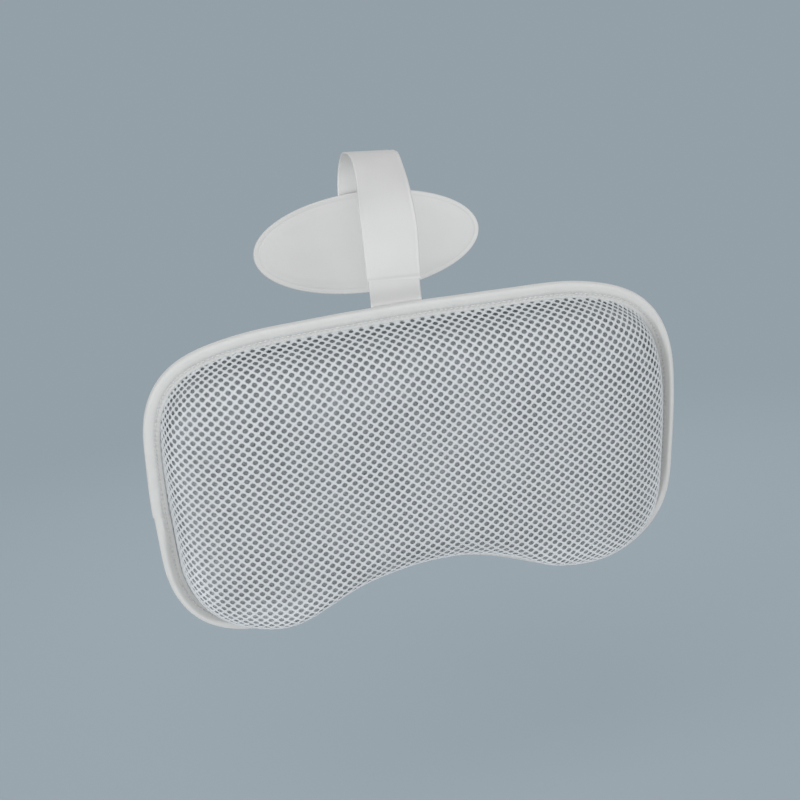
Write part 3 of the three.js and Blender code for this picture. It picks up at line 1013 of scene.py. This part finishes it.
def tab(material):
    sewn = np.array(
        [
            (0, TAB_ON_PANEL, TAB_SEWN_BOTTOM),
            (0, TAB_ON_PANEL, TAB_SEWN_TOP),
            (0, TAB_MIDDLE, TAB_STEP_TOP),
            (0, TAB_MIDDLE, UPPER_HEIGHT + TAB_STANDOFF),
        ]
    )
    lap = (middle_y("tab_lap"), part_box("tab_lap")[1].z / MM)
    path = eased(even_path(np.vstack([hang(sewn)[:, 1:] / MM, [lap]])), TAB_EASE)
    leg_top = STRAP_THICKNESS / 2 - FRONT_BEND
    strap_place = path[:, 1] - leg_top - FRONT_BEND * math.pi / 2 - CROWN_LEVEL / 2
    fold_z = joints["cushion_swing"][2] / MM
    return strip_piece("tab_strip", path, material, TAB_WIDTH, strap_place, fold_z=fold_z)


def tab_stitches(material):
    """A box of stitches with its two diagonals."""
    half = TAB_WIDTH / 2 - TAB_STITCH_MARGIN
    bottom = TAB_SEWN_BOTTOM + TAB_STITCH_MARGIN
    top = bottom + TAB_STITCH_HEIGHT
    corners = np.array([(-half, bottom), (half, bottom), (half, top), (-half, top)])
    middles, ahead = [], []
    for line in ((0, 1), (1, 2), (2, 3), (3, 0), (0, 2), (1, 3)):
        start, end = corners[list(line)]
        length = np.linalg.norm(end - start)
        count = int(round(length / STITCH_PITCH))
        middles.append(start + (end - start) * (np.arange(count)[:, None] + 0.5) / count)
        ahead.append(np.repeat([(end - start) / length], count, axis=0))
    middles = np.vstack(middles) + (STRAP_OFFSET, 0)
    seat = TAB_ON_PANEL + STRAP_THICKNESS / 2
    return stitch_row("tab_stitches", middles, np.vstack(ahead), seat, 1, material)


# Weighted pad


def in_groove(inset):
    """1 on the line that the weld presses, 0 away from it."""
    return bell(inset, WELD_WIDTH, GROOVE_HALF)


def pad_profile(inset, side):
    """Depth of a sheet's outer face from the pad's middle.

    From the rim there are a weld, a pressed line, a soft shoulder and a slight dome.
    """
    weld = WELD_HALF + SHEET_THICKNESS - side * WELD_FORWARD
    full = POCKET_HALF + SHEET_THICKNESS
    shoulder_end = WELD_WIDTH + SHOULDER_WIDTH
    rise = (full - weld) * ramp(WELD_WIDTH, shoulder_end, inset)
    dome = PAD_DOME * ramp(shoulder_end, PAD_HEIGHT / 2, inset)
    return weld + rise + dome - WELD_GROOVE * in_groove(inset)


# Painted shade along the pressed line; on the front, painted light in the middle and painted shade on the
# left
def pad_tones(side, insets, turns, x):
    at_end = ramp(*GROOVE_END_SPAN, np.cos(turns))
    tones = mixed(1, mixed(GROOVE_PAINTED_SHADE, GROOVE_END_PAINTED_SHADE, at_end), in_groove(insets)[:, None])
    if side < 0:
        tones += swell(x, *PAD_MIDDLE_PAINTED_LIGHT)
        tones -= PAD_LEFT_PAINTED_SHADE * ramp(*PAD_PAINTED_SHADE_SPAN, x)
    return tones


def pad_sheet(name, side, material, points_round=240, face_rings=12, inner_rings=8):
    """One sheet of the pocket: side -1 is the front, 1 the back."""
    low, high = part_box("pocket_front_sheet")
    back_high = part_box("pocket_back_sheet")[1].y
    middle = np.array([(low.x + high.x) / 2 / MM, (low.y + back_high) / 2 / MM, (low.z + high.z) / 2 / MM])
    deepest = PAD_HEIGHT / 2 - PAD_LAST_RING
    face = np.linspace(PAD_FACE_START, deepest, face_rings)
    outer_inset = np.concatenate([PAD_RIM_INSETS, np.linspace(*SHOULDER_RINGS), face])
    outer_depth = pad_profile(outer_inset, side)
    edge_depth = WELD_HALF - side * WELD_FORWARD
    outer_depth[:3] = edge_depth + np.array([0, PAD_RIM_ROUND, SHEET_THICKNESS - PAD_RIM_ROUND])
    inner_face = np.linspace(deepest, PAD_FACE_START, inner_rings)
    inner_inset = np.concatenate([inner_face, np.linspace(*INNER_SHOULDER_RINGS), [INNER_EDGE]])
    inner_depth = np.maximum(pad_profile(inner_inset, side) - SHEET_THICKNESS, edge_depth)
    insets = np.concatenate([inner_inset, outer_inset])
    depths = np.concatenate([inner_depth, outer_depth])
    turns = np.arange(points_round) * 2 * np.pi / points_round
    x = (PAD_WIDTH / 2 - insets[:, None]) * np.cos(turns)
    z = (PAD_HEIGHT / 2 - insets[:, None]) * np.sin(turns)
    y = side * np.repeat(depths[:, None], points_round, axis=1)
    c, s = math.cos(math.radians(PAD_SKEW)), math.sin(math.radians(PAD_SKEW))
    points = (np.stack([x * c + z * s, y, z * c - x * s], axis=2) + middle).reshape(-1, 3)
    tones = pad_tones(side, insets, turns, x)
    return make_piece(name, points * MM, tube(len(insets), points_round), material, tones=tones)


# Shader nodes


def add(tree, kind, values=(), **settings):
    """A shader node with its settings, and (socket, value or output to link) pairs."""
    node = tree.nodes.new(kind)
    for name, value in settings.items():
        setattr(node, name, value)
    for socket, value in values:
        if isinstance(value, bpy.types.NodeSocket):
            tree.links.new(value, node.inputs[socket])
        else:
            node.inputs[socket].default_value = value
    return node


def maths(tree, operation, *values):
    """The result of a step of arithmetic on one or two values."""
    return add(tree, "ShaderNodeMath", enumerate(values), operation=operation).outputs[0]


def scaled(tree, vector, factor):
    values = [(0, vector), ("Scale", factor)]
    return add(tree, "ShaderNodeVectorMath", values, operation="SCALE").outputs[0]


def map_range(tree, value, low, high, values=(), **settings):
    """A value read as a share of the way from low to high."""
    values = [("Value", value), ("From Min", low), ("From Max", high), *values]
    return add(tree, "ShaderNodeMapRange", values, **settings).outputs["Result"]


def mixed_shaders(tree, share, first, second):
    values = [(0, share), (1, first.outputs[0]), (2, second.outputs[0])]
    return add(tree, "ShaderNodeMixShader", values)


def object_place(tree):
    return add(tree, "ShaderNodeTexCoord").outputs["Object"]


def cloth_place(tree):
    return add(tree, "ShaderNodeUVMap", uv_map="cloth").outputs["UV"]


def noise(tree, place, size, detail=3.0):
    """Noise of a size in millimetres."""
    values = [("Vector", place), ("Scale", 1 / size), ("Detail", detail)]
    return add(tree, "ShaderNodeTexNoise", values).outputs["Fac"]


def waves(tree, place, pitch, direction):
    """Even ribs of a pitch in millimetres."""
    values = [("Vector", place), ("Scale", math.pi / 10 / pitch * 2), ("Distortion", 0.6), ("Detail", 1.0)]
    return add(tree, "ShaderNodeTexWave", values, bands_direction=direction).outputs["Fac"]


def bump(tree, height, depth, strength=1.0, normal=None):
    """A bump of a depth in millimetres."""
    values = [("Height", height), ("Distance", depth * MM), ("Strength", strength)]
    if normal is not None:
        values.append(("Normal", normal))
    return add(tree, "ShaderNodeBump", values).outputs["Normal"]


# Materials


def new_material(name, colour, roughness, **sockets):
    """A material, its nodes, its shader and a place in millimetres to read noises at."""
    material = bpy.data.materials.new(name)
    material.use_nodes = True
    tree = material.node_tree
    shader = tree.nodes["Principled BSDF"]
    shader.inputs["Base Color"].default_value = (*colour, 1)
    shader.inputs["Roughness"].default_value = roughness
    for socket, value in sockets.items():
        shader.inputs[socket.replace("_", " ")].default_value = value
    return material, tree, shader, scaled(tree, object_place(tree), 1 / MM)


def mottle(tree, shader, colour, factor, change):
    """Base colour that drifts by a share with a noise."""
    mix = add(tree, "ShaderNodeMix", [(0, factor)], data_type="RGBA")
    colours = [socket for socket in mix.inputs if socket.type == "RGBA"]
    for socket, share in zip(colours, (1 - change, 1 + change)):
        socket.default_value = (*(min(1, c * share) for c in colour), 1)
    result = next(socket for socket in mix.outputs if socket.type == "RGBA")
    tree.links.new(result, shader.inputs["Base Color"])


def scale_colour(tree, shader, factor):
    """Base colour times a factor."""
    colour = shader.inputs["Base Color"]
    tree.links.new(scaled(tree, colour.links[0].from_socket, factor), colour)


def toned(tree, shader):
    """Base colour times the tone that the points carry, which is painted light and shade."""
    scale_colour(tree, shader, add(tree, "ShaderNodeAttribute", attribute_name="tone").outputs["Fac"])


def border_tint(tree, shader, width):
    """Lighter welded borders along a strip's two edges."""
    across = add(tree, "ShaderNodeSeparateXYZ", [(0, cloth_place(tree))]).outputs["Y"]
    inner = width / 2 - EDGE_BEAD
    tints = [("To Min", 1.0), ("To Max", BORDER_TINT)]
    from_middle = maths(tree, "ABSOLUTE", across)
    scale_colour(tree, shader, map_range(tree, from_middle, inner + TINT_FROM, inner + TINT_TO, tints))


def grained_material(
    name, colour, roughness, grain, depth, patch, change, strength=1.0, detail=3.0, has_tone=True, **sockets
):
    """A material with a fine grain and slow patches, their sizes in millimetres."""
    material, tree, shader, place = new_material(name, colour, roughness, **sockets)
    normal = bump(tree, noise(tree, place, grain, detail), depth, strength)
    tree.links.new(normal, shader.inputs["Normal"])
    mottle(tree, shader, colour, noise(tree, place, patch), change)
    if has_tone:
        toned(tree, shader)
    return material


def net_material():
    yarn = {"grain": 0.28, "detail": 4, "depth": 0.12, "strength": 0.7, "patch": 9, "change": 0.05}
    return grained_material("net_cloth", NET_COLOUR, roughness=0.62, **yarn, Sheen_Weight=0.15)


def thread_material():
    twine = {"grain": 0.18, "depth": 0.06, "patch": 4, "change": 0.05}
    return grained_material("thread", THREAD_COLOUR, roughness=0.5, **twine, Sheen_Weight=0.2)


def steel_material():
    brushed = {"grain": 0.6, "detail": 4, "depth": 0.05, "patch": 12, "change": 0.1, "has_tone": False}
    return grained_material("steel", STEEL_COLOUR, roughness=0.45, **brushed, Metallic=1.0)


def foam_material(cells_per_mm=1.1, cell_depth=0.5):
    material, tree, shader, place = new_material("foam", FOAM_COLOUR, roughness=0.95)
    cells = add(tree, "ShaderNodeTexVoronoi", [("Vector", place), ("Scale", cells_per_mm)])
    tree.links.new(bump(tree, cells.outputs["Distance"], cell_depth), shader.inputs["Normal"])
    drift = maths(tree, "ADD", noise(tree, place, size=38, detail=1), noise(tree, place, size=7))
    mottle(tree, shader, FOAM_COLOUR, maths(tree, "MULTIPLY", drift, 0.5), change=0.5)
    toned(tree, shader)
    return material


def woven_material(name, colour, roughness, pitches, depth, has_tone=False):
    material, tree, shader, place = new_material(name, colour, roughness, Sheen_Weight=0.2)
    cloth = cloth_place(tree)
    ribs = [waves(tree, cloth, pitch, axis) for pitch, axis in zip(pitches, "XY")]
    weave = maths(tree, "MULTIPLY", *ribs)
    lint = bump(tree, noise(tree, place, size=0.35), depth=0.08, strength=0.5)
    normal = bump(tree, weave, depth, strength=0.8, normal=lint)
    tree.links.new(normal, shader.inputs["Normal"])
    mottle(tree, shader, colour, noise(tree, place, size=14), change=0.04)
    if has_tone:
        toned(tree, shader)
    return material


def pvc_material(name, colour, border_width=None):
    material, tree, shader, place = new_material(name, colour, roughness=0.44)
    grain = bump(tree, noise(tree, place, size=0.5, detail=2), depth=0.02, strength=0.5)
    dents = bump(tree, noise(tree, place, size=22, detail=1), depth=0.5, strength=0.5, normal=grain)
    tree.links.new(dents, shader.inputs["Normal"])
    mottle(tree, shader, colour, noise(tree, place, size=18), change=0.025)
    if border_width:
        border_tint(tree, shader, border_width)
    toned(tree, shader)
    return material


# Stage, lights and camera


def stage_bowl(material, points_round=96, bend_steps=16):
    """A pale floor that curves up into a wall all round."""
    floor_z, hub, inner, flat, bend, wall = -0.5, 0.02, 0.6, 2.4, 1.1, 0.1
    turns = np.linspace(0, np.pi / 2, bend_steps)
    radii = np.concatenate([[hub, inner], flat + bend * np.sin(turns), [flat + bend]])
    heights = np.concatenate([[0, 0], bend * (1 - np.cos(turns)), [bend + wall]])
    around = np.arange(points_round) * 2 * np.pi / points_round
    x, y = radii[:, None] * np.cos(around), radii[:, None] * np.sin(around)
    points = np.stack([x, y, heights[:, None] + floor_z + 0 * x], axis=2).reshape(-1, 3)
    faces = tube(len(radii), points_round)[: 1 - points_round // 2]
    floor = make_piece("stage_floor", points, faces, material)


def stage_material():
    """A matt floor that turns to an even backdrop away from the object."""
    matt = {"roughness": 0.9, "Specular_IOR_Level": 0.1}
    material, tree, shader, place = new_material("stage", STAGE_COLOUR, **matt)
    mottle(tree, shader, STAGE_COLOUR, noise(tree, place, size=400), change=0.01)
    path = add(tree, "ShaderNodeLightPath").outputs
    bounce = add(tree, "ShaderNodeBsdfDiffuse", [("Color", (*BOUNCE_COLOUR, 1))])
    near = mixed_shaders(tree, path["Is Camera Ray"], bounce, shader)
    seen = maths(tree, "MAXIMUM", path["Is Camera Ray"], path["Is Glossy Ray"])
    values = [(0, object_place(tree)), (1, (1, 1, 0))]
    level = add(tree, "ShaderNodeVectorMath", values, operation="MULTIPLY").outputs[0]
    radius = add(tree, "ShaderNodeVectorMath", [(0, level)], operation="LENGTH").outputs["Value"]
    far = map_range(tree, radius, *BACKDROP_RADII, interpolation_type="SMOOTHSTEP")
    values = [("Color", (*STAGE_COLOUR, 1)), ("Strength", BACKDROP_STRENGTH)]
    even = add(tree, "ShaderNodeEmission", values)
    surface = mixed_shaders(tree, maths(tree, "MULTIPLY", seen, far), near, even)
    tree.links.new(surface.outputs[0], tree.nodes["Material Output"].inputs["Surface"])
    return material


def soft_lamp(name, place, size, watts, is_mirrored):
    light = bpy.data.lights.new(name, "AREA")
    light.shape = "DISK"
    light.size = size
    light.energy = watts
    light.color = LAMP_COLOUR
    lamp = link(name, light)
    lamp.location = place
    lamp.visible_glossy = is_mirrored
    lamp.rotation_euler = (Vector(LAMP_AIM) - Vector(place)).to_track_quat("-Z", "Y").to_euler()


def light_scene():
    world = bpy.data.worlds.new("studio")
    world.use_nodes = True
    tree = world.node_tree
    light = tree.nodes["Background"]
    light.inputs["Color"].default_value = (1, 1, 1, 1)
    light.inputs["Strength"].default_value = WORLD_STRENGTH
    values = [("Color", (*STAGE_COLOUR, 1)), ("Strength", BACKDROP_STRENGTH)]
    backdrop = add(tree, "ShaderNodeBackground", values)
    seen = add(tree, "ShaderNodeLightPath").outputs["Is Camera Ray"]
    surface = mixed_shaders(tree, seen, light, backdrop)
    tree.links.new(surface.outputs[0], tree.nodes["World Output"].inputs["Surface"])
    bpy.context.scene.world = world
    for lamp in LAMPS:
        soft_lamp(*lamp)


def place_camera():
    yaw, lift, roll = (math.radians(angle) for angle in CAMERA_ANGLES)
    back = Vector((-math.sin(yaw) * math.cos(lift), -math.cos(yaw) * math.cos(lift), math.sin(lift)))
    right = Vector((math.cos(yaw), -math.sin(yaw), 0))
    up = back.cross(right)
    across = math.cos(roll) * right + math.sin(roll) * up
    upright = math.cos(roll) * up - math.sin(roll) * right
    data = bpy.data.cameras.new("camera")
    data.lens, data.sensor_width = LENS, SENSOR
    camera = link("camera", data)
    facing = Matrix((across, upright, back)).transposed().to_4x4()
    camera.matrix_world = Matrix.Translation(Vector(CAMERA_PLACE) * MM) @ facing
    bpy.context.scene.camera = camera


# Assembly


def dress(piece, body, node):
    """Rides a piece on a body, in place of a node of the solids."""
    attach(piece, body)
    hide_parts(node)


def dress_cushion(thread):
    net = net_cover(net_material())
    dress(net, "cushion", "front_mesh_cover")

    foam = foam_core(foam_material())
    dress(foam, "cushion", "foam_core")

    weave = {"roughness": 0.75, "pitches": (0.9, 0.9), "depth": 0.12}
    panel = back_panel(woven_material("back_cloth", PANEL_COLOUR, **weave))
    dress(panel, "cushion", "back_panel")

    weave = {"roughness": 0.72, "pitches": (0.7, 0.55), "depth": 0.09}
    binding = edge_binding(woven_material("tape", TAPE_COLOUR, **weave, has_tone=True))
    dress(binding, "cushion", "edge_binding")

    top = binding_stitches("binding_top_stitches", -1, thread)
    dress(top, "cushion", "binding_top_thread")
    under = binding_stitches("binding_under_stitches", 1, thread)
    dress(under, "cushion", "binding_under_thread")
    dress(tab_stitches(thread), "cushion", "tab_stitch")


def dress_strip(strip, upper, lower, joint, *nodes):
    """Bakes a strip's placing into its points, in place of the solids' nodes."""
    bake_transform(strip)
    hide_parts(*nodes)


def dress_strap(pvc, tab_pvc):
    leg_y = middle_y("strap_front_leg")
    front = strap_half("strap_front", -1, FRONT_BEND, leg_y, "strap_front_leg", pvc, steps=40, laps=True)
    nodes = ("strap_crown", "strap_front_fold", "strap_front_leg")
    dress_strip(front, "crown", "front_leg", "front_leg_swing", *nodes)

    tail_y = CROWN_LEVEL / 2 + REAR_BEND
    rear = strap_half("strap_rear", 1, REAR_BEND, tail_y, "strap_tail", pvc, steps=60, laps=False)
    dress_strip(rear, "crown", "pad", "pad_swing", "strap_rear_fold", "strap_tail")

    nodes = ("tab_lap", "tab_fold", "tab_sewn_end")
    dress_strip(tab(tab_pvc), "front_leg", "cushion", "cushion_swing", *nodes)


def dress_pad(pvc):
    for name, side, node in (
        ("pad_front_sheet", -1, "pocket_front_sheet"),
        ("pad_back_sheet", 1, "pocket_back_sheet"),
    ):
        sheet = pad_sheet(name, side, pvc)
        dress(sheet, "pad", node)
        plate = ["counterweight_plate"]
    plate = frame["nodes"]["counterweight_plate"]
    plate.data.materials.clear()
    plate.data.materials.append(steel_material())


bpy.context.scene.view_settings.view_transform = "Standard"
place_camera()
light_scene()
stage_bowl(stage_material())
dress_cushion(thread_material())
strap_pvc = pvc_material("strap_pvc", PVC_COLOUR, STRAP_WIDTH)
dress_strap(strap_pvc, pvc_material("tab_pvc", PVC_COLOUR, TAB_WIDTH))
dress_pad(pvc_material("pad_pvc_painted_light", PAD_PAINTED_LIGHT_COLOUR))
